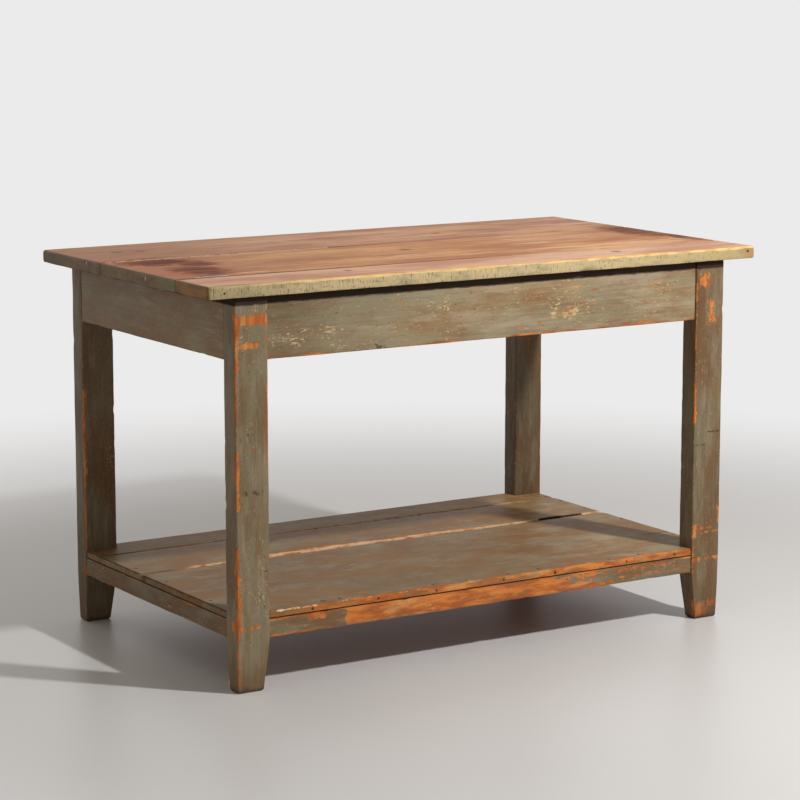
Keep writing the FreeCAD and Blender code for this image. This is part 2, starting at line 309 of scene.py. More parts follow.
class Finish(Surface):
    """A surface with known places. Its ragged noise runs along the grain, if there is one."""

    def __init__(self, name, seed, grain=None):
        super().__init__(name, seed)
        self.grain = grain

    @cached_property
    def ragged(self):
        return self.noise(stretch(self.grain, 40, 130), 0, 6, 0.66)

    @cached_property
    def crumbs(self):
        return self.noise((210, 210, 210), 28, 4, 0.7)

    def vector(self, operation, first, second=(0.0, 0.0, 0.0)):
        return self.add("ShaderNodeVectorMath", {0: first, 1: second}, operation=operation).outputs[0]

    def rooms(self, centre, half):
        """How far a point lies inside a box on each axis, less than nothing outside it."""
        away = self.vector("ABSOLUTE", self.vector("SUBTRACT", self.place, centre))
        return self.split(self.vector("SUBTRACT", half, away))

    def depths(self, box):
        """The same for a box that is given by its two corners."""
        low, high = box
        return self.rooms((high + low) / 2, (high - low) / 2)

    def edge(self, box):
        """The distance along the surface to the nearest edge of a box."""
        a, b, c = self.depths(box)
        return a.least(b).most(a.most(b).least(c))

    def inside(self, centre, half):
        """How far a point lies inside a small box, less than nothing outside it."""
        a, b, c = self.rooms(centre, half)
        return a.least(b).least(c)

    def mark(self, centre, half, fray):
        """1 inside a small box with frayed borders."""
        torn = (self.ragged - 0.5) * (2.6 * fray) + (self.crumbs - 0.5) * (2.4 * fray)
        return (torn + self.inside(centre, half)).rise(-0.0004, 0.0016)

    def blot(self, x, y, long, wide, fray):
        """1 in a soft spot on a level face."""
        across = self.xyz[0].math("MULTIPLY_ADD", 1 / long, -x / long)
        over = self.xyz[1].math("MULTIPLY_ADD", 1 / wide, -y / wide)
        away = (across * across + over * over).math("SQRT")
        return ((self.ragged - 0.5) * fray + away).rise(1.15, 0.45)


print(f"ragged noise along the table has {stretch(ALONG, 40, 130)} features per metre")

# %% [markdown]
# ## Rubbed arrises
# The solids have even, machine-made edges, and the old table has none: years of knocks left every arris
# wavy, with a chip here and there. Sculpting would do it by hand. Here a copy of each large piece is
# sliced across its grain and just inside its edges, and the new points near an arris are pushed inward
# by noise. The joints inside stay.

# %% Slice a mesh
def slice_up(bm, axis, places):
    """Cut the mesh with planes across one axis."""
    for place in places:
        point, normal = Vector(), Vector()
        point[axis] = place
        normal[axis] = 1.0
        everything = bm.verts[:] + bm.edges[:] + bm.faces[:]
        bmesh.ops.bisect_plane(bm, geom=everything, dist=1e-6, plane_co=point, plane_no=normal)


def steps(low, high, spacing):
    """Evenly spaced places between two ends."""
    count = max(1, round((high - low) / spacing))
    return [low + (high - low) * (number + 0.5) / count for number in range(count)]


print(f"cuts 25 mm apart on 100 mm: {steps(0.0, 0.1, 0.025)}")

# %% Wear of an arris
WAVES, CHIPS = 22, 55
CHIP_START, CHIP_SPAN = 0.42, 0.3


def pushed_in(place, low, high, reach, depth, chip):
    """How an arris of a box gives way near it: a wave that is always there, and a chip here and there."""
    wave = noise.noise(place * WAVES) * 0.5 + 0.5
    chipped = max(0.0, noise.noise(place * CHIPS) - CHIP_START) / CHIP_SPAN
    loss = depth * wave + chip * min(1.0, chipped)
    depths = [min(place[axis] - low[axis], high[axis] - place[axis]) for axis in range(3)]
    push = Vector()
    for one, other in ((0, 1), (1, 2), (0, 2)):
        near = 1 - max(depths[one], depths[other]) / reach
        if near > 0:
            for axis in (one, other):
                inward = 1 if place[axis] < (low[axis] + high[axis]) / 2 else -1
                push[axis] += inward * near * loss
    return push


print(f"{WAVES} waves and {CHIPS} places for chips per metre")

# %% Wear one piece
TREAD = 0.02
SHARP = radians(35)


def rubbed(name, spacing, reach=0.006, depth=0.0011, chip=0.0022, sag=0.0):
    """A copy of a solid with uneven arrises. It stands for the solid and rides on the same body.

    Sag is how far the upper arris on the far side has been trodden down.
    """
    bm = bmesh.new()
    bm.from_mesh(nodes[name].data)
    bmesh.ops.remove_doubles(bm, verts=bm.verts, dist=0.00002)
    bmesh.ops.dissolve_limit(bm, angle_limit=radians(0.3), verts=bm.verts, edges=bm.edges)
    low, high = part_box(name)
    for axis in range(3):
        slice_up(bm, axis, [low[axis] + reach, high[axis] - reach])
        if spacing[axis]:
            slice_up(bm, axis, steps(low[axis], high[axis], spacing[axis]))
    for vertex in bm.verts:
        push = pushed_in(vertex.co, low, high, reach, depth, chip)
        if vertex.co.z > high.z - reach / 2:
            push.z -= sag * max(0.0, 1 - (high.y - vertex.co.y) / TREAD)
        vertex.co += push
    mesh = bpy.data.meshes.new(name + "_rubbed")
    bm.to_mesh(mesh)
    bm.free()
    mesh.shade_smooth()
    mesh.set_sharp_from_angle(angle=SHARP)
    piece = bpy.data.objects.new(name + "_rubbed", mesh)
    bpy.context.scene.collection.objects.link(piece)
    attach(piece, nodes[name]["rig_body"])
    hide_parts(name)
    return piece


print(f"the trodden strip is {TREAD * 1000:.0f} mm wide")

# %% Rub the large pieces
LENGTHWISE = (0.014, 0, 0)
ENDWISE = (0, 0.014, 0)
UPRIGHT = (0, 0, 0.012)
ALL_ROUND = (0.016, 0.016, 0)
LEGS = ["leg_front_left", "leg_front_right", "leg_back_left", "leg_back_right"]
ROWS = ["front", "middle", "back"]
SAG = {"shelf_board_front": 0.0026, "shelf_board_middle": 0.0012}

rub = {name: UPRIGHT for name in LEGS}
rub |= {"apron_front": LENGTHWISE, "apron_left": ENDWISE, "apron_right": ENDWISE}
rub |= {"shelf_rail_front": LENGTHWISE, "shelf_rail_back": LENGTHWISE}
rub |= {"shelf_rail_left": ENDWISE, "shelf_rail_right": ENDWISE}
rub |= {f"{kind}_board_{row}": ALL_ROUND for kind in ("shelf", "top") for row in ROWS}
look = dict(nodes)
for name, spacing in rub.items():
    if name.startswith("shelf_board"):
        look[name] = rubbed(name, spacing, depth=0.0006, chip=0.0009, sag=SAG.get(name, 0.0))
    else:
        look[name] = rubbed(name, spacing)
print(f"{len(rub)} rubbed pieces, {sum(len(look[name].data.polygons) for name in rub)} faces")

# %% [markdown]
# ## Paint over paint
# The frame was painted orange once and grey green later, with a brush that left ridges along the wood.
# Grease and smoke browned it in clouds, and where it was chalky it stayed pale. Painting all this on an
# image would fix how near one can look. Each coat is written as a colour, a roughness and a height
# instead, so that rubbing the upper coat away also leaves a small step that catches the light.

# %% The coats
OLIVE = srgb(137, 125, 98)
SMOKED = srgb(126, 93, 60)
CHALKED = srgb(160, 146, 124)
GRIME = srgb(60, 47, 34)
ORANGE = srgb(206, 124, 56)
RUST_ORANGE = srgb(164, 88, 42)
PALE_WOOD = srgb(214, 172, 116)
CREAM = srgb(206, 180, 132)


def olive_paint(f, grain, tone, brown=0.5, run=1.0):
    """Grey green, smoked brown in clouds and chalky in streaks, with brush ridges and dirt in its pits."""
    cloud = f.noise(stretch(grain, 1.8 * run, 5), 20, 4, 0.6)
    smoke = f.noise(stretch(grain, 4 * run, 12), 1, 7, 0.66) + (brown - 0.5) * 0.35
    chalk = f.noise(stretch(grain, 6 * run, 30), 2, 6, 0.64).rise(0.5, 0.64)
    brush = f.noise(stretch(grain, 8, 190), 3, 5, 0.62)
    pits = f.noise(stretch(grain, 80, 210), 4, 5, 0.68).rise(0.62, 0.7)
    specks = f.noise(stretch(grain, 110, 240), 26, 4, 0.7).rise(0.6, 0.68)
    colour = f.blend(smoke.rise(0.4, 0.64) * 0.9, OLIVE, SMOKED)
    colour = f.blend(chalk * 0.5, colour, CHALKED)
    colour = f.blend(pits * 0.7, colour, GRIME)
    colour = f.blend(specks * 0.4, colour, CREAM)
    light = (brush * 0.8 + cloud * 0.9 + 0.15) * tone
    return Coat(f.shade(colour, light), brush * 0.25 + 0.36, brush * 0.0003 - pits * 0.0002 + 0.0003)


def orange_paint(f, grain):
    """The older coat: bright where it was rubbed last, rusty and stained elsewhere, bare wood in streaks."""
    rub = f.noise(stretch(grain, 14, 70), 5, 6, 0.64)
    bare = f.noise(stretch(grain, 10, 50), 6, 6, 0.64).rise(0.54, 0.64)
    stain = f.noise(stretch(grain, 24, 80), 18, 6, 0.66).rise(0.54, 0.66)
    colour = f.blend(rub.rise(0.4, 0.6), RUST_ORANGE, ORANGE)
    colour = f.blend(bare * 0.3, colour, PALE_WOOD)
    return Coat(f.blend(stain * 0.55, colour, SMOKED), rub * 0.2 + 0.45, rub * 0.0003)


def raw_pine(f, grain, light, dark):
    """Planed pine that was never painted, browned by age."""
    drift = f.noise(stretch(grain, 1.1, 6), 7, 3)
    rings = f.noise(stretch(grain, 1.0, 75), 8, 3).rise(0.52, 0.66)
    fibre = f.noise(stretch(grain, 9, 420), 9, 3)
    colour = f.blend(drift.rise(0.35, 0.68), light, dark)
    colour = f.blend(rings * 0.45, colour, dark)
    return Coat(f.shade(colour, fibre * 0.4 + 0.8), fibre * 0.15 + 0.55, fibre * 0.0002)


print("coats: grey green, orange, raw pine")

# %% [markdown]
# One recipe paints every member of the frame. Arrises lose their paint first, in stretches, and small
# nicks dot the rest. A few patches are worn through on the faces, and flecks of cream filler and orange
# gather in clusters, some as the thin curled rims of flaking paint. Dirt darkens the feet, and a painted
# shadow darkens the strip under the top, where the top's overhang casts its shade.

# %% What wore the paint, and the painted shadow under the top
UNDER_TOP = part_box("top_board_front")[0].z
SHADOW_DEPTH = 0.018
TOUCH = 0.005


def worn_arris(f, grain, box, wear):
    """Stretches of an arris where the upper coat is gone, and the nicks between them."""
    edge = f.edge(box)
    fray = f.noise(stretch(grain, 70, 170), 11, 5, 0.66)
    where = f.noise(stretch(grain, 6, 6), 10, 4, 0.6).rise(0.46, 0.62)
    worn = (where * fray * (2 * wear) - edge).rise(-0.0003, 0.0006)
    nicks = ((fray - 0.56) * 0.03 - edge).rise(0.0, 0.0008)
    return worn, nicks


def flaking(f, grain, clusters, start):
    """Small chips, and the curled rims of larger ones, thick in the clusters and rare elsewhere."""
    crowd = f.noise(stretch(grain, 6, 14), 13, 4)
    for centre, half, share in clusters:
        crowd = crowd + f.inside(centre, half).rise(-0.015, 0.015) * share
    chips = f.noise(stretch(grain, 85, 240), 14, 6, 0.68) + crowd * 0.6
    rims = abs(f.noise(stretch(grain, 50, 90), 22, 4, 0.6) - 0.5).rise(0.02, 0.008)
    rims = rims * f.noise((160, 160, 160), 23, 3).rise(0.48, 0.56)
    return chips.rise(start, start + 0.04).most(rims * crowd.rise(0.58, 0.68))


def foot_dirt(f, coat):
    """Splashes on a foot, darkest where it stands."""
    height = f.xyz[2] + (f.ragged - 0.5) * 0.03
    colour = f.blend(height.rise(0.085, 0.0) * 0.5, coat.colour, srgb(96, 66, 40))
    return coat._replace(colour=f.blend(height.rise(0.012, 0.002) * 0.6, colour, srgb(44, 33, 24)))


def painted_shadow_under_top(f, coat):
    """Painted shadow: a near black band in the strip right under the top, where its overhang casts shade."""
    # Painted shadow: a near black band below the top, where its overhang casts shade.
    shadow_band = (f.xyz[2] + (f.ragged - 0.5) * 0.006).rise(UNDER_TOP - SHADOW_DEPTH, UNDER_TOP - SHADOW_DEPTH + 0.004)
    return coat._replace(colour=f.blend(shadow_band * 0.92, coat.colour, srgb(38, 23, 17)),
                         rough=shadow_band * 0.4 + coat.rough)


# The band printed here is the painted shadow under the top.
print(f"dirt from {UNDER_TOP - SHADOW_DEPTH:.3f} m up to the top at {UNDER_TOP:.3f} m")

# %% The painter's recipe
FRONT_FACE, BACK_FACE = (ACROSS, -1), (ACROSS, 1)
LEFT_FACE, RIGHT_FACE = (ALONG, -1), (ALONG, 1)
SHADED_PINE = srgb(158, 116, 78), srgb(122, 84, 54)
BRUSHED_OVER = 0.004


def unpainted(f, grain, box, face, coat):
    """Raw pine on one face of a piece."""
    low, high = box
    axis, side = face
    past = f.xyz[axis] - high[axis] if side > 0 else low[axis] - f.xyz[axis]
    inward = past + BRUSHED_OVER
    return f.layer(inward.rise(0.0, 0.002), coat, raw_pine(f, grain, *SHADED_PINE))


def dress(piece, material):
    """Give a piece one material."""
    piece.data.materials.clear()
    piece.data.materials.append(material)


def paint(name, grain, seed, tone=1.0, painted_left_shade=0.0, brown=0.5, wear=0.005, flecks=0.98, marks=(), scars=(),
          clusters=(), raw=None):
    """Paint one piece. Its left end can be darkened with painted shade, and raw is the face that was left
    unpainted.

    Marks are worn to orange, scars are scratches full of dirt, and flecks of filler gather in the clusters.
    """
    f = Finish(name + "_paint", seed, grain)
    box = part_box(name)
    worn, nicks = worn_arris(f, grain, box, wear)
    worn = worn.most(f.noise(stretch(grain, 9, 34), 12, 7, 0.68).rise(0.71, 0.73))
    worn = reduce(Field.most, [f.mark(*mark) for mark in marks], worn)
    tint = (f.noise(stretch(grain, 9, 9), 17, 3) + f.xyz[0] * 0.5).rise(0.46, 0.58)
    filler = Coat(f.blend(tint * 0.55, CREAM, ORANGE), 0.6, 0.0001)
    # Painted shade: the left end is made darker, as if less light fell there.
    coat = olive_paint(f, grain, f.xyz[0].rise(-0.6, 0.02) * painted_left_shade + (tone - painted_left_shade), brown)
    coat = f.layer(flaking(f, grain, clusters, flecks).most(nicks) * 0.85, coat, filler)
    coat = f.layer(worn, coat, orange_paint(f, grain))
    if box[0].z < TOUCH:
        coat = foot_dirt(f, coat)
    # Pieces that reach up to the top get the painted shadow under it.
    if box[1].z > UNDER_TOP - TOUCH:
        coat = painted_shadow_under_top(f, coat)
    for scar in scars:
        coat = f.layer(f.mark(*scar) * 0.75, coat, Coat(GRIME, 0.7, -0.0002))
    if raw:
        coat = unpainted(f, grain, box, raw, coat)
    dress(look[name], f.finish(coat, shine=0.2))
    print(f"{name}: {len(f.tree.nodes)} nodes, {len(marks) + len(scars) + len(clusters)} known places")


print("the recipe for the frame is ready")

# %% [markdown]
# ## Legs
# The legs stand in the way of feet and brooms, so their arrises are rubbed to orange from top to
# bottom, and bands of orange show where something was tied or stood against them. Noise alone would put
# such bands anywhere, so each one that matters is written down with its place on the table.

# %% Where the legs are worn
def on_front(name, rows, deep=0.006):
    """Places on a piece's front face. A row has x, z, half the length and height, and the last value."""
    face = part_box(name)[0].y
    return [((x, face, z), (long, deep, tall), last) for x, z, long, tall, last in rows]


LEFT, FACE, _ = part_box("leg_front_left")[0]
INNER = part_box("leg_front_left")[1].x
LEG_MARKS = {
    "leg_front_left": on_front("leg_front_left", [
        (-0.538, 0.701, 0.034, 0.0105, 0.007),
        (-0.566, 0.668, 0.006, 0.022, 0.007),
        (-0.546, 0.654, 0.024, 0.006, 0.007),
        (LEFT, 0.188, 0.008, 0.086, 0.009),
        (-0.5365, 0.462, 0.003, 0.004, 0.006),
        (-0.5640, 0.457, 0.002, 0.003, 0.006),
        (-0.5565, 0.201, 0.003, 0.004, 0.006),
        (-0.553, 0.124, 0.030, 0.003, 0.009),
    ]) + [
        ((LEFT, FACE, 0.66), (0.008, 0.004, 0.055), 0.009),
        ((LEFT, FACE, 0.54), (0.002, 0.003, 0.070), 0.008),
        ((LEFT, FACE, 0.406), (0.008, 0.004, 0.056), 0.009),
        ((LEFT, FACE + 0.011, 0.128), (0.004, 0.013, 0.009), 0.007),
        ((INNER, FACE, 0.27), (0.0012, 0.002, 0.21), 0.004),
        ((-0.566, FACE + 0.005, 0.05), (0.003, 0.004, 0.034), 0.007),
        ((-0.507, FACE + 0.005, 0.06), (0.002, 0.004, 0.025), 0.006),
    ],
    "leg_front_right": on_front("leg_front_right", [
        (0.512, 0.705, 0.012, 0.014, 0.018),
        (0.531, 0.640, 0.008, 0.022, 0.018),
        (0.499, 0.188, 0.006, 0.012, 0.018),
        (0.530, 0.192, 0.034, 0.0012, 0.006),
        (0.523, 0.183, 0.036, 0.0010, 0.005),
        (0.560, 0.216, 0.004, 0.018, 0.009),
        (0.530, 0.128, 0.034, 0.003, 0.010),
    ]) + [
        ((0.4945, FACE, 0.60), (0.0006, 0.003, 0.10), 0.006),
        ((0.4945, FACE, 0.45), (0.0026, 0.004, 0.045), 0.010),
        ((0.4945, FACE, 0.15), (0.0012, 0.004, 0.05), 0.008),
        ((0.512, FACE, 0.018), (0.018, 0.012, 0.018), 0.016),
        ((0.545, FACE, 0.030), (0.012, 0.012, 0.008), 0.018),
    ],
    "leg_back_left": [
        ((-0.571, 0.297, 0.385), (0.004, 0.004, 0.10), 0.007),
        ((-0.571, 0.302, 0.110), (0.004, 0.008, 0.010), 0.008),
    ],
}
LEG_SCARS = {
    "leg_front_left": on_front("leg_front_left", [
        (-0.5415, 0.490, 0.006, 0.001, 0.006),
        (-0.534, 0.379, 0.018, 0.001, 0.012),
        (-0.511, 0.229, 0.004, 0.002, 0.005),
    ]),
    "leg_front_right": on_front("leg_front_right", [
        (0.545, 0.392, 0.020, 0.0006, 0.006),
        (0.507, 0.366, 0.013, 0.0006, 0.006),
    ]),
}
print(f"marks on {len(LEG_MARKS)} legs, scars on {len(LEG_SCARS)}")

# %% Dress the legs
LEG_TONES = [(0.88, 0.45), (0.72, 0.62), (0.7, 0.66), (0.60, 0.66)]
for number, (name, (tone, brown)) in enumerate(zip(LEGS, LEG_TONES)):
    paint(name, UP, number + 1, tone, brown=brown, wear=0.003, flecks=1.0, marks=LEG_MARKS.get(name, ()),
          scars=LEG_SCARS.get(name, ()))

# %% [markdown]
# ## Aprons, rails and drawer fronts
# The aprons are painted outside only, and their inner faces stay raw pine. On the front one the paint
# flakes in patches of cream filler. A painted mask could hold the patches; as places in metres they
# need no image, and noise gives each its ragged outline.

# %% Dress the aprons
FILLER = on_front("apron_front", [
    (-0.457, 0.653, 0.037, 0.009, 0.24),
    (-0.360, 0.664, 0.026, 0.009, 0.11),
    (-0.228, 0.661, 0.012, 0.006, 0.17),
    (-0.172, 0.657, 0.010, 0.006, 0.17),
    (-0.107, 0.702, 0.010, 0.018, 0.18),
    (-0.050, 0.658, 0.025, 0.006, 0.17),
    (0.060, 0.640, 0.018, 0.008, 0.18),
    (0.115, 0.647, 0.014, 0.005, 0.17),
    (0.170, 0.667, 0.036, 0.012, 0.20),
    (0.069, 0.717, 0.020, 0.005, 0.15),
    (0.418, 0.700, 0.060, 0.016, 0.15),
], deep=0.01)
APRON_MARKS = on_front("apron_front", [
    (0.165, 0.662, 0.012, 0.002, 0.018),
    (0.060, 0.640, 0.005, 0.001, 0.012),
    (0.115, 0.647, 0.010, 0.001, 0.010),
    (0.242, 0.706, 0.006, 0.001, 0.008),
    (0.0, 0.6255, 0.56, 0.0016, 0.004),
    (0.354, 0.629, 0.045, 0.003, 0.009),
    (-0.212, 0.706, 0.001, 0.008, 0.009),
])
APRON_SCARS = on_front("apron_front", [(-0.255, 0.629, 0.010, 0.003, 0.010)])
# The front apron's left end gets painted shade.
paint("apron_front", ALONG, 11, tone=1.17, painted_left_shade=0.45, brown=0.46, flecks=0.95, marks=APRON_MARKS,
      scars=APRON_SCARS, clusters=FILLER, raw=BACK_FACE)
paint("apron_left", ACROSS, 12, tone=1.14, brown=0.66, wear=0.002, flecks=1.02, raw=RIGHT_FACE)
paint("apron_right", ACROSS, 13, raw=LEFT_FACE)

# %% [markdown]
# The front shelf rail is where feet rest, and there the grey green coat is gone over more than half its
# length. The drawer fronts and the rails round them get the plain recipe, because nothing rubs them but
# hands.

# %% Dress the rails and drawer fronts
RAIL_MARKS = on_front("shelf_rail_front", [
    (-0.09, 0.110, 0.245, 0.045, 0.012),
    (0.17, 0.100, 0.13, 0.008, 0.012),
    (0.15, 0.110, 0.10, 0.008, 0.014),
    (0.13, 0.121, 0.06, 0.009, 0.014),
    (0.25, 0.128, 0.20, 0.003, 0.010),
    (0.40, 0.113, 0.10, 0.001, 0.009),
    (-0.40, 0.128, 0.020, 0.005, 0.009),
])
RAIL_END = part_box("shelf_rail_left")[0].x
LEFT_RAIL_MARKS = [
    ((RAIL_END, -0.18, 0.100), (0.006, 0.045, 0.003), 0.008),
    ((RAIL_END, -0.072, 0.112), (0.006, 0.008, 0.003), 0.008),
]
paint("shelf_rail_front", ALONG, 14, tone=0.85, brown=0.66, marks=RAIL_MARKS, raw=BACK_FACE)
paint("shelf_rail_back", ALONG, 15, tone=0.85, brown=0.6, wear=0.006, raw=FRONT_FACE)
paint("shelf_rail_left", ACROSS, 16, tone=0.87, brown=0.76, wear=0.003, marks=LEFT_RAIL_MARKS,
      raw=RIGHT_FACE)
paint("shelf_rail_right", ACROSS, 17, tone=0.85, brown=0.6, wear=0.006, raw=LEFT_FACE)
for number, name in enumerate(("drawer_rail_upper", "drawer_rail_lower", "drawer_divider",
                               "drawer_left_front", "drawer_right_front")):
    paint(name, UP if name == "drawer_divider" else ALONG, number + 21, raw=FRONT_FACE)

# %% [markdown]
# ## Shelf
# The shelf's paint is a shade browner, and shoes and pots have polished it in blotches. Along each seam
# the nearer board is trodden down and gathers dirt, so that the farther one shows a rim of pale wood.
# The front edge is rubbed to orange, a cream line tops its left half, and near the right end a seam
# stands open and a crack runs in. Each of these could be a strip of its own laid on the board. As rules
# about the distance to an edge they follow the board whatever its size.

# %% Paint of the shelf
SHELF_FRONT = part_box("shelf_board_front")[0].y
SHELF_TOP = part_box("shelf_board_front")[1].z
SHELF_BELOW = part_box("shelf_board_front")[0].z


def shelf_paint(f, tone, orange):
    """Brown blotches on grey green, lighter towards the right end as a painted reflection, with a knot and a
    few orange patches.
    """
    # Painted reflection: the paint gets lighter towards the right end, as a sheen would make it.
    coat = olive_paint(f, ALONG, f.xyz[0].rise(0.0, 0.4) * 0.38 + tone, brown=0.58, run=2.4)
    ochre = f.noise((6, 11, 11), 15, 7, 0.68).rise(0.46, 0.62)
    coat = coat._replace(colour=f.blend(ochre * 0.48 + 0.26, coat.colour, srgb(136, 96, 44)))
    scuffs = f.noise((9, 34, 34), 12, 7, 0.68).rise(0.7, 0.72)
    coat = f.layer(scuffs, coat, orange)
    spot = f.blot(-0.567, 0.04, 0.007, 0.01, 0.6)
    dark = spot.most(f.mark((-0.18, -0.09, SHELF_TOP), (0.03, 0.002, 0.004), 0.012))
    eye = f.mark((-0.172, -0.096, SHELF_TOP), (0.010, 0.002, 0.004), 0.006)
    colour = f.blend(dark * 0.7, coat.colour, srgb(72, 54, 40))
    return coat._replace(colour=f.blend(eye * 0.6, colour, PALE_WOOD))


print(f"shelf between {SHELF_BELOW:.3f} m and {SHELF_TOP:.3f} m, front edge at {SHELF_FRONT:.3f} m")

# %% Edges of the shelf
RIMS = {"shelf_board_middle": 0.03, "shelf_board_back": 0.007}


def seam_rim(f, name, fray):
    """The rim of pale wood along a board's near edge, and the wider halo of orange round it."""
    x, y, z = f.xyz
    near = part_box(name)[0].y
    where = f.noise((5, 5, 5), 10, 4, 0.6).rise(0.36, 0.58) * 0.6 + 0.4
    where = where * (x.rise(0.45, -0.15) * 0.7 + 0.3) * (x.rise(-0.42, -0.28) * 0.7 + 0.3)
    width = where * fray * RIMS.get(name, 0.0)
    pale = (width + near - y).rise(0.0, 0.001) * x.rise(-0.50, -0.44)
    halo = (width * 1.8 + near - y).rise(-0.002, 0.004) * x.rise(-0.52, -0.44)
    return pale * z.rise(SHELF_TOP - 0.007, SHELF_TOP - 0.004), halo


def seam_dirt_and_dark_end(f, name, fray):
    """Where dirt gathers along a board's far edge, and a dark band along the top of its left end."""
    x, y, z = f.xyz
    low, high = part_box(name)
    gap = ((fray - 0.5) * 0.004 + 0.001 + y - high.y).rise(0.0, 0.001)
    # A dark band along the top of the left end face.
    end = ((f.noise((40, 30, 40), 24, 5, 0.6) - 0.5) * 0.008 + 0.003 + z - SHELF_TOP).rise(0.0, 0.001)
    return gap.most(end * x.rise(low.x + 0.0025, low.x + 0.0015))


def trodden(f, name, fray):
    """Where the front edge is rubbed to orange, and where a cream line tops it."""
    x, y, _ = f.xyz
    front = ((f.ragged - 0.5) * 0.022 + 0.0055 + SHELF_FRONT - y).rise(-0.001, 0.001)
    spared = f.noise((14, 60, 60), 25, 6, 0.66).rise(0.5, 0.58) * 0.6
    spared = spared.most((x + (f.ragged - 0.5) * 0.2).rise(-0.36, -0.46) * 0.8)
    lip = ((fray - 0.5) * 0.01 + 0.0014 - f.edge(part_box(name))).rise(0.0, 0.001)
    chip = f.mark((-0.440, SHELF_FRONT, SHELF_TOP - 0.0015), (0.044, 0.0015, 0.0018), 0.004)
    return front * (1.0 - spared), (lip * front * x.rise(0.1, -0.3)).most(chip)


print(f"pale rims on {len(RIMS)} boards")

# %% Dress the shelf
RED_STAIN = srgb(150, 80, 44), srgb(112, 56, 32)
CRACKS = [
    ((0.52, -0.185, SHELF_TOP), (0.034, 0.0016, 0.004), 0.001),
    ((0.448, 0.0605, SHELF_TOP), (0.058, 0.0034, 0.004), 0.002),
    ((0.425, 0.062, SHELF_TOP), (0.030, 0.0055, 0.004), 0.002),
]


def shelf_finish(name, seed, tone):
    """Paint, rims, dirt, rubbed front edge, cracks, and a red stain underneath."""
    f = Finish(name + "_paint", seed, ALONG)
    fray = f.noise((60, 150, 150), 11, 5, 0.66)
    orange = orange_paint(f, ALONG)
    bare = Coat(f.blend(f.ragged.rise(0.36, 0.54), ORANGE, srgb(238, 200, 156)), 0.5, 0.0)
    pale, halo = seam_rim(f, name, fray)
    front, cream = trodden(f, name, fray)
    lowest = f.xyz[2].rise(SHELF_BELOW + 0.0024, SHELF_BELOW + 0.0014)
    dark = reduce(Field.most, [f.mark(*crack) for crack in CRACKS], lowest)
    under = f.xyz[2].rise(SHELF_BELOW + 0.0006, SHELF_BELOW + 0.0002)
    coat = f.layer(halo * 0.5, shelf_paint(f, tone, orange), orange)
    coat = f.layer(pale * 0.95, coat, bare)
    coat = f.layer(seam_dirt_and_dark_end(f, name, fray) * 0.75, coat, Coat(GRIME, 0.8, 0.0))
    coat = f.layer(front, coat, orange)
    coat = f.layer(cream, coat, Coat(srgb(222, 200, 160), 0.6, 0.0))
    coat = f.layer(dark, coat, Coat(srgb(38, 29, 22), 0.9, -0.0005))
    return f.finish(f.layer(under, coat, raw_pine(f, ALONG, *RED_STAIN)), shine=0.1)


for number, (row, tone) in enumerate(zip(ROWS, (0.89, 1.02, 1.0))):
    dress(look[f"shelf_board_{row}"], shelf_finish(f"shelf_board_{row}", number + 31, tone))
print(f"{len(ROWS)} shelf boards, {len(CRACKS)} cracks")

# %% [markdown]
# ## Top
# The top was scrubbed and oiled rather than painted. Three pine boards differ in colour, dark stains
# lie at both ends, and the edge still carries pale paint with its upper arris rubbed bright. A wood
# texture from an image would repeat. Here growth rings are bands across the board, bent by slow noise
# and pushed aside by the knots, so no two boards are alike.

# %% Wood of the top
# Light and dark wood of each board, and how much painted shade darkens its left end.
BOARDS = {
    "front": (srgb(206, 162, 131), srgb(176, 124, 93), 0.06),
    "middle": (srgb(203, 149, 92), srgb(160, 99, 57), 0.26),
    "back": (srgb(200, 150, 112), srgb(154, 100, 66), 0.40),
}
KNOTS = [(-0.526, 0.227, 0.011), (-0.476, 0.217, 0.009), (-0.011, -0.04, 0.012), (0.21, 0.19, 0.009),
         (0.33, -0.29, 0.010), (-0.29, -0.28, 0.008)]


def oiled_pine(f, light, dark, painted_left_shade):
    """Growth rings and fibres under a patchy film of oil, scrubbed pale in places, with short cracks. A
    painted sheen adds pale patches towards the right end.

    Painted shade makes the left end darker and redder, by an amount given for each board.
    """
    x, y, _ = f.xyz
    drift = f.noise((1.0, 4, 4), 1, 4, 0.6)
    fibre = f.noise((8, 330, 330), 2, 4, 0.6)
    rings = y * 60.0 + drift * 9.0
    for knot_x, knot_y, size in KNOTS:
        rings = rings + f.blot(knot_x, knot_y, size * 5, size * 2.2, 0.3) * 1.6
    late = (rings * (2 * pi)).math("SINE").rise(0.2, 1.0)
    broad = f.noise((2.6, 11, 11), 3, 7, 0.66).rise(0.4, 0.62)
    narrow = f.noise((4, 60, 60), 19, 5, 0.62).rise(0.5, 0.66)
    # Scrubbed pale patches, with more of them towards the right end as a painted sheen.
    scrubbed_and_sheen = (f.noise((3, 22, 22), 4, 6, 0.64) + x * 0.07).rise(0.52, 0.66)
    cracks = f.noise((16, 400, 400), 6, 3, 0.6).rise(0.67, 0.71)
    colour = f.blend(broad, light, dark)
    colour = f.blend(narrow * 0.55, colour, dark)
    colour = f.blend(late * 0.25, colour, dark)
    colour = f.blend(scrubbed_and_sheen * 0.55, colour, srgb(216, 178, 146))
    colour = f.blend(cracks * 0.7, colour, srgb(74, 48, 36))
    # Painted shade: the left end darker and redder.
    colour = f.blend(x.rise(-0.1, -0.5) * painted_left_shade, colour, srgb(184, 114, 56))
    colour = f.shade(colour, (fibre * 0.5 + 0.75) * (x.rise(-0.55, 0.05) * painted_left_shade + (1.22 - painted_left_shade)))
    return Coat(colour, fibre * 0.2 + 0.42, fibre * 0.0003 - late * 0.0001 - cracks * 0.0004)


print(f"{len(BOARDS)} kinds of board, {len(KNOTS)} knots")

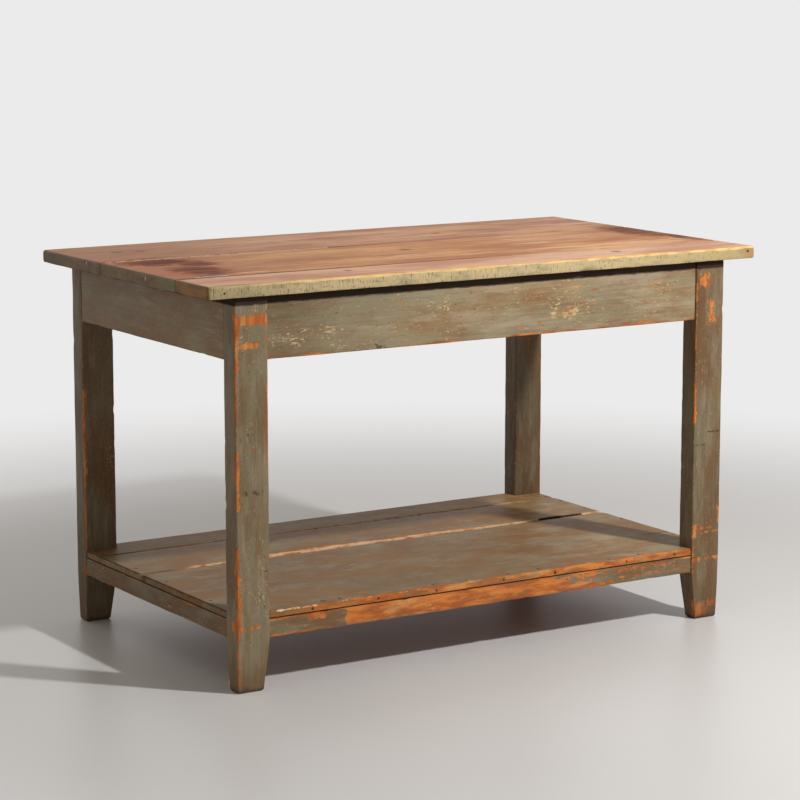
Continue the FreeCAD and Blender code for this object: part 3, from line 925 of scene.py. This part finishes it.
# %% Stains on the top
STAINS = [(-0.535, 0.035, 0.085, 0.075, 1.6), (-0.525, -0.125, 0.06, 0.085, 1.6),
          (-0.48, -0.03, 0.05, 0.05, 1.6), (0.60, 0.0, 0.07, 0.15, 1.4), (0.612, -0.14, 0.028, 0.08, 1.0)]
GLOWS = [(-0.56, -0.05, 0.17, 0.20, 1.8), (-0.57, -0.11, 0.11, 0.11, 1.6), (0.53, -0.06, 0.11, 0.12, 1.8)]


def spotted(f, coat):
    """The wood with its knots, and with the dark stains and reddish glows at both ends."""
    stains = reduce(Field.most, [f.blot(*stain) for stain in STAINS])
    stains = stains * (f.noise((5, 70, 70), 27, 6, 0.66).rise(0.36, 0.6) * 0.4 + 0.6)
    knots = reduce(Field.most, [f.blot(x, y, size * 1.5, size, 0.5) for x, y, size in KNOTS])
    colour = coat.colour
    for glow in GLOWS:
        colour = f.blend(f.blot(*glow) * 0.5, colour, srgb(168, 92, 46))
    colour = f.blend(stains * 0.85, colour, srgb(90, 50, 50))
    colour = f.blend(knots * 0.8, colour, srgb(82, 48, 30))
    return coat._replace(colour=colour, rough=stains * 0.35 + coat.rough)


print(f"{len(STAINS)} stains, {len(GLOWS)} glows")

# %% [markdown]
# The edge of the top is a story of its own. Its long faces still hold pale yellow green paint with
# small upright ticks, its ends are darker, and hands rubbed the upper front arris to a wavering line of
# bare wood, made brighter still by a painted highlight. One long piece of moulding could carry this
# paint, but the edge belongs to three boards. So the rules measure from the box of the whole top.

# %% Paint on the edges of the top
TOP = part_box("top_board_front")[0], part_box("top_board_back")[1]
TOP_FACE = TOP[1].z
FRONT_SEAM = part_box("top_board_front")[1].y
SPECKS = [(TOP[0].x, 0.144, TOP_FACE - 0.007), (TOP[0].x, -0.111, TOP_FACE - 0.010)]


def left_end(f, ends, patches, colour):
    """The left end: bare brown wood in front, a mossy green beside it, dark at the back, two specks."""
    y = f.xyz[1]
    left = f.xyz[0].rise(0.1, -0.1) * ends
    mossy = (y + (f.ragged - 0.5) * 0.06).rise(FRONT_SEAM + 0.09, FRONT_SEAM + 0.05) * left
    bared = y.rise(FRONT_SEAM + 0.002, FRONT_SEAM - 0.002) * left
    brown = f.blend(patches.rise(0.4, 0.6), srgb(158, 104, 48), srgb(122, 82, 38))
    colour = f.blend(mossy * 0.65, colour, srgb(124, 122, 78))
    colour = f.blend(bared * 0.85, colour, brown)
    colour = f.blend(y.rise(0.15, 0.3) * left * 0.5, colour, srgb(84, 74, 48))
    for place in SPECKS:
        colour = f.blend(f.mark(place, (0.004, 0.003, 0.004), 0.002), colour, srgb(196, 168, 124))
    return colour


def edge_paint(f, ends):
    """Paint on the side faces of the top: pale along the front and back, browned at the ends."""
    x = f.xyz[0]
    along = 1.0 - ends
    ticks = f.noise((330, 330, 75), 5, 4, 0.64) - x * 0.05
    patches = f.noise((16, 16, 60), 6, 6, 0.66)
    darker = f.blend(ends, srgb(158, 147, 112), srgb(94, 64, 40))
    lighter = f.blend(ends, srgb(204, 178, 122), srgb(142, 114, 72))
    colour = f.blend(ends, srgb(192, 172, 131), srgb(124, 96, 62))
    colour = f.blend(patches.rise(0.48, 0.6) * 0.8, colour, darker)
    colour = f.blend(patches.rise(0.44, 0.36) * 0.65, colour, lighter)
    colour = f.blend(x.rise(-0.35, -0.62) * along * 0.6, colour, srgb(148, 133, 97))
    colour = f.blend(x.rise(0.25, 0.55) * along * 0.6, colour, srgb(170, 150, 104))
    colour = f.blend(x.rise(0.58, 0.622) * along * 0.6, colour, srgb(164, 116, 66))
    colour = f.blend(ticks.rise(0.54, 0.66) * 0.8, colour, srgb(98, 80, 54))
    return Coat(left_end(f, ends, patches, colour), 0.5, ticks * 0.0004)


print(f"top {TOP[1].x - TOP[0].x:.3f} m by {TOP[1].y - TOP[0].y:.3f} m")

# %% Seams and arrises of the top
BACK_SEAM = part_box("top_board_back")[0].y
SEAM_LINES = [
    ((-0.37, BACK_SEAM - 0.002, TOP_FACE), (0.25, 0.008, 0.008), 0.009, 0.8, srgb(226, 178, 142)),
    ((-0.455, FRONT_SEAM + 0.03, TOP_FACE), (0.035, 0.006, 0.004), 0.010, 0.8, srgb(226, 178, 142)),
    ((-0.54, FRONT_SEAM + 0.026, TOP_FACE), (0.03, 0.008, 0.004), 0.005, 0.7, srgb(70, 68, 78)),
    ((-0.55, FRONT_SEAM + 0.010, TOP_FACE), (0.035, 0.004, 0.004), 0.004, 0.8, srgb(214, 200, 194)),
]


def seamed(f, name, wander, coat):
    """Dark seams between the boards, closed towards the right, with the smears that lie along them."""
    near = f.depths(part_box(name))[1]
    seam = (0.0050 + wander * 0.008 - near + (f.ragged - 0.5) * 0.004).rise(0.0, 0.0015)
    closed = f.xyz[0].rise(-0.15, 0.15) * 0.7
    coat = f.layer(seam * (0.85 - closed), coat, Coat(srgb(62, 34, 26), 0.7, -0.0003))
    for centre, half, fray, share, colour in SEAM_LINES:
        coat = f.layer(f.mark(centre, half, fray) * share, coat, Coat(colour, 0.6, 0.0))
    return coat


def edged(f, wander, coat):
    """Painted edges round the top, a worn left end, and a bright line along the upper front arris, bare wood
    made brighter by a painted highlight.
    """
    x, _, z = f.xyz
    side_x, side_y, _ = f.depths(TOP)
    ends = (side_y - side_x).rise(-0.001, 0.001)
    rim = (0.0022 - side_x.least(side_y)).rise(-0.0012, 0.0004)
    coat = f.layer(rim, coat, edge_paint(f, ends))
    worn_end = ((f.ragged - 0.5) * 0.012 + 0.003 - side_x).rise(0.0, 0.0015)
    worn_end = worn_end * (1.0 - rim) * x.rise(0.1, -0.1)
    coat = f.layer(worn_end * 0.6, coat, Coat(srgb(214, 158, 116), 0.6, 0.0))
    # The arris line is rubbed bare wood, brightened further as a painted highlight.
    arris = ((f.ragged - 0.5) * 0.005 + wander * 0.01 + 0.005 - f.edge(TOP)).rise(0.0, 0.0015)
    arris = arris * (x.rise(-0.58, -0.4) * 0.8 + 0.2) * z.rise(TOP_FACE - 0.013, TOP_FACE - 0.010)
    bare_wood_and_highlight = f.blend(f.ragged.rise(0.3, 0.6), srgb(204, 152, 86), srgb(226, 190, 126))
    return f.layer(arris * (1.0 - ends * 0.9), coat, Coat(bare_wood_and_highlight, 0.5, 0.0))


print(f"seams at {FRONT_SEAM:.3f} m and {BACK_SEAM:.3f} m")

# %% Dress the top
def top_finish(row, seed):
    """Oiled wood with stains, seams and painted edges, and raw pine underneath."""
    f = Finish(f"top_board_{row}_oiled", seed, ALONG)
    wander = f.noise((9, 9, 9), 8, 4, 0.6) - 0.5
    coat = spotted(f, oiled_pine(f, *BOARDS[row]))
    coat = edged(f, wander, seamed(f, f"top_board_{row}", wander, coat))
    under = f.xyz[2].rise(UNDER_TOP + 0.0008, UNDER_TOP + 0.0003)
    return f.finish(f.layer(under, coat, raw_pine(f, ALONG, *SHADED_PINE)), shine=0.18)


for number, row in enumerate(BOARDS):
    dress(look[f"top_board_{row}"], top_finish(row, number + 41))
print(f"{len(BOARDS)} top boards, {len(SEAM_LINES)} smears along the seams")

# %% [markdown]
# ## Raw pine and iron
# Runners, guides, kickers and the insides of the drawers never saw paint. One plain material for all
# would run its grain the wrong way on half of them, so they share one recipe, turned along each piece's
# own grain. Nails are dark iron with a film of rust.

# %% Dress what stays hidden
DRAWER_PINE = srgb(196, 156, 108), srgb(164, 118, 76)


def pine_finish(name, grain, seed, tones):
    """Raw pine with clouds of dirt."""
    f = Finish(name + "_pine", seed)
    coat = raw_pine(f, grain, *tones)
    dirt = f.noise((9, 9, 9), 10, 4).rise(0.5, 0.75)
    return f.finish(coat._replace(colour=f.blend(dirt * 0.35, coat.colour, GRIME)), shine=0.3)


def iron_finish(name, seed):
    """Dark iron, rusty in spots."""
    f = Finish(name, seed)
    rust = f.noise((500, 500, 500), 1, 4).rise(0.4, 0.65)
    colour = f.blend(rust, srgb(52, 43, 38), srgb(88, 58, 40))
    f.tree.nodes["Principled BSDF"].inputs["Metallic"].default_value = 0.4
    return f.finish(Coat(colour, rust * 0.2 + 0.5, rust * 0.0001))


for number, place in enumerate(("left", "centre", "right")):
    for kind in ("runner", "guide", "kicker"):
        dress(look[f"{kind}_{place}"], pine_finish(f"{kind}_{place}", ACROSS, number + 51, SHADED_PINE))
dress(look["drawer_stops"], pine_finish("drawer_stops", ALONG, 54, SHADED_PINE))
for number, side in enumerate(("left", "right")):
    for kind, grain in (("side_left", ACROSS), ("side_right", ACROSS), ("back", ALONG), ("bottom", ALONG)):
        name = f"drawer_{side}_{kind}"
        dress(look[name], pine_finish(name, grain, number * 4 + grain + 61, DRAWER_PINE))
iron = iron_finish("nail_iron", 81)
dress(look["shelf_nails"], iron)
print(f"raw pine and iron, {len(bpy.data.materials)} materials so far")

# %% [markdown]
# ## Knobs
# Each knob was turned on a lathe: a foot, a hollow neck and a domed head. Spinning a profile round the
# knob's axis is the same act, and a subdivision surface rounds what the gouge rounded. Fingers keep the
# rim bare.

# %% Turn the knobs
PROFILE = [
    (0.0, 0.0), (0.0055, 0.0), (0.006, 0.0195), (0.0118, 0.0202), (0.0118, 0.0215), (0.0082, 0.0262),
    (0.0088, 0.0288), (0.0155, 0.0335), (0.0169, 0.0365), (0.0160, 0.0398), (0.0105, 0.0430), (0.0, 0.0438),
]


def turned_knob(name):
    """A knob spun from its profile, each point of which is a radius and a place along the axis."""
    low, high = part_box(name)
    bm = bmesh.new()
    middle = Vector(((low.x + high.x) / 2, low.y, (low.z + high.z) / 2))
    ring = [bm.verts.new(middle + Vector((radius, along, 0))) for radius, along in PROFILE]
    rail = [bm.edges.new(pair) for pair in zip(ring, ring[1:])]
    bmesh.ops.spin(bm, geom=ring + rail, cent=middle, axis=(0, 1, 0), angle=2 * pi, steps=20)
    bmesh.ops.remove_doubles(bm, verts=bm.verts, dist=0.00001)
    bmesh.ops.recalc_face_normals(bm, faces=bm.faces)
    mesh = bpy.data.meshes.new(name + "_turned")
    bm.to_mesh(mesh)
    bm.free()
    mesh.shade_smooth()
    piece = bpy.data.objects.new(name + "_turned", mesh)
    bpy.context.scene.collection.objects.link(piece)
    smooth = piece.modifiers.new("smooth", "SUBSURF")
    smooth.levels = smooth.render_levels = 2
    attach(piece, nodes[name]["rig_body"])
    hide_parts(name)
    return piece


def knob_finish(name, seed):
    """Grey green in the middle and orange on the rim."""
    f = Finish(name + "_paint", seed)
    low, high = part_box(name)
    x = f.xyz[0] - (low.x + high.x) / 2
    z = f.xyz[2] - (low.z + high.z) / 2
    out = (x * x + z * z).math("SQRT") + (f.ragged - 0.5) * 0.006
    coat = f.layer(out.rise(0.0152, 0.0162), olive_paint(f, ACROSS, 0.9), orange_paint(f, ACROSS))
    return f.finish(coat, shine=0.4)


for number, side in enumerate(("left", "right")):
    name = f"drawer_{side}_knob"
    dress(turned_knob(name), knob_finish(name, number + 71))
print(f"2 turned knobs, {PROFILE[-1][1] * 1000:.0f} mm long with their spigots")

# %% [markdown]
# ## Nail and screw heads
# Small domed tacks sit along the shelf's front edge, two nails in the top's edge, and screws come up
# through the kickers. The same thing many times over is work for Geometry Nodes: one head, put on every
# point, turned to face outward and made a little larger or smaller at random with a fixed seed.

# %% A tree that sets heads on points
def heads_tree():
    """Node group: a flattened ball on every point."""
    tree = bpy.data.node_groups.new("fastener_heads", "GeometryNodeTree")
    tree.interface.new_socket("Points", in_out="INPUT", socket_type="NodeSocketGeometry")
    for title, kind in (("Radius", "Float"), ("Rise", "Float"), ("Facing", "Vector"), ("Iron", "Material")):
        tree.interface.new_socket(title, in_out="INPUT", socket_type="NodeSocket" + kind)
    tree.interface.new_socket("Heads", in_out="OUTPUT", socket_type="NodeSocketGeometry")
    add, link = tree.nodes.new, tree.links.new
    source, result = add("NodeGroupInput"), add("NodeGroupOutput")
    ball = add("GeometryNodeMeshIcoSphere")
    ball.inputs["Radius"].default_value = 1.0
    ball.inputs["Subdivisions"].default_value = 2
    size, flat = add("ShaderNodeCombineXYZ"), add("GeometryNodeTransform")
    for socket, title in (("X", "Radius"), ("Y", "Radius"), ("Z", "Rise")):
        link(source.outputs[title], size.inputs[socket])
    link(ball.outputs["Mesh"], flat.inputs["Geometry"])
    link(size.outputs[0], flat.inputs["Scale"])
    chance = add("FunctionNodeRandomValue")
    chance.data_type = "FLOAT"
    chance.inputs[2].default_value, chance.inputs[3].default_value = 0.85, 1.12
    chance.inputs["Seed"].default_value = 7
    setter = add("GeometryNodeInstanceOnPoints")
    real, tinted = add("GeometryNodeRealizeInstances"), add("GeometryNodeSetMaterial")
    link(source.outputs["Points"], setter.inputs["Points"])
    link(flat.outputs["Geometry"], setter.inputs["Instance"])
    link(source.outputs["Facing"], setter.inputs["Rotation"])
    link(chance.outputs[1], setter.inputs["Scale"])
    link(setter.outputs[0], real.inputs[0])
    link(real.outputs[0], tinted.inputs["Geometry"])
    link(source.outputs["Iron"], tinted.inputs["Material"])
    link(tinted.outputs[0], result.inputs[0])
    return tree


tree = heads_tree()
print(f"{tree.name}: {len(tree.nodes)} nodes")

# %% Set the heads
FORWARD, UPWARD = (radians(90), 0, 0), (0, 0, 0)
EDGE_TACKS = [(-0.408, 0.1435), (-0.262, 0.1445), (-0.130, 0.1430), (0.027, 0.1445), (0.151, 0.1435),
              (0.328, 0.1440), (0.450, 0.1445)]
TOP_TACKS = [(-0.340, 0.016), (-0.053, 0.013), (0.043, 0.011), (0.292, 0.014)]
EDGE_NAILS = [(0.612, 0.7605), (-0.598, 0.7560)]
TACK_SUNK, NAIL_SUNK = 0.0003, 0.0004
SCREW_INSET = 0.010
SCREW_ROWS = (-0.27, -0.08, 0.18)


def set_heads(name, points, radius, rise, facing):
    """Heads of one kind on the table's body."""
    mesh = bpy.data.meshes.new(name)
    mesh.from_pydata(points, [], [])
    piece = bpy.data.objects.new(name, mesh)
    bpy.context.scene.collection.objects.link(piece)
    heads = piece.modifiers.new("heads", "NODES")
    heads.node_group = tree
    values = {"Radius": radius, "Rise": rise, "Facing": facing, "Iron": iron}
    for socket in tree.interface.items_tree:
        if socket.name in values:
            heads[socket.identifier] = values[socket.name]
    made = bpy.data.meshes.new_from_object(piece.evaluated_get(bpy.context.evaluated_depsgraph_get()))
    piece.modifiers.clear()
    piece.data = made
    made.shade_smooth()
    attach(piece, "table")
    print(f"{name}: {len(points)} heads, {len(made.polygons)} faces")


tacks = [(x, SHELF_FRONT + TACK_SUNK, z) for x, z in EDGE_TACKS]
set_heads("shelf_edge_tacks", tacks, radius=0.0031, rise=0.0012, facing=FORWARD)
tacks = [(x, SHELF_FRONT + y, SHELF_TOP) for x, y in TOP_TACKS]
set_heads("shelf_top_tacks", tacks, radius=0.0030, rise=0.0010, facing=UPWARD)
nails = [(x, TOP[0].y + NAIL_SUNK, z) for x, z in EDGE_NAILS]
set_heads("top_edge_nails", nails, radius=0.0030, rise=0.0010, facing=FORWARD)
kicker_low, kicker_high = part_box("kicker_centre")
columns = (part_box("kicker_left")[1].x - SCREW_INSET, (kicker_low.x + kicker_high.x) / 2,
           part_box("kicker_right")[0].x + SCREW_INSET)
screws = [(x, y, kicker_low.z) for x in columns for y in SCREW_ROWS]
set_heads("top_screw_heads", screws, radius=0.0045, rise=0.0007, facing=UPWARD)

# %% [markdown]
# ## Floor paint
# The floor is pale and plain. Near the table it takes the shadow, and further out it turns into the
# colour of the room for rays that look at it. Mist would fade it too, but mist also greys the table.

# %% Dress the floor
FLOOR = srgb(220, 218, 216)
f = Finish("floor_paint", 91)
x, y, _ = f.xyz
away = (x * x + y * y).math("SQRT").rise(1.0, 2.8)
cloud = f.noise((1.5, 1.5, 1.5), 1, 4)
floor_material = f.finish(Coat(f.shade(FLOOR[:3], cloud * 0.06 + 0.97), 0.38, cloud * 0.0002))
room = f.add("ShaderNodeEmission", {"Color": ROOM})
faded = f.add("ShaderNodeMixShader", {0: away * Field(seen_directly(f.tree)),
                                     1: f.tree.nodes["Principled BSDF"].outputs[0], 2: room.outputs[0]})
put(faded.outputs[0], f.tree.nodes["Material Output"].inputs["Surface"])
dress(floor, floor_material)
print(f"floor paint with {len(f.tree.nodes)} nodes")
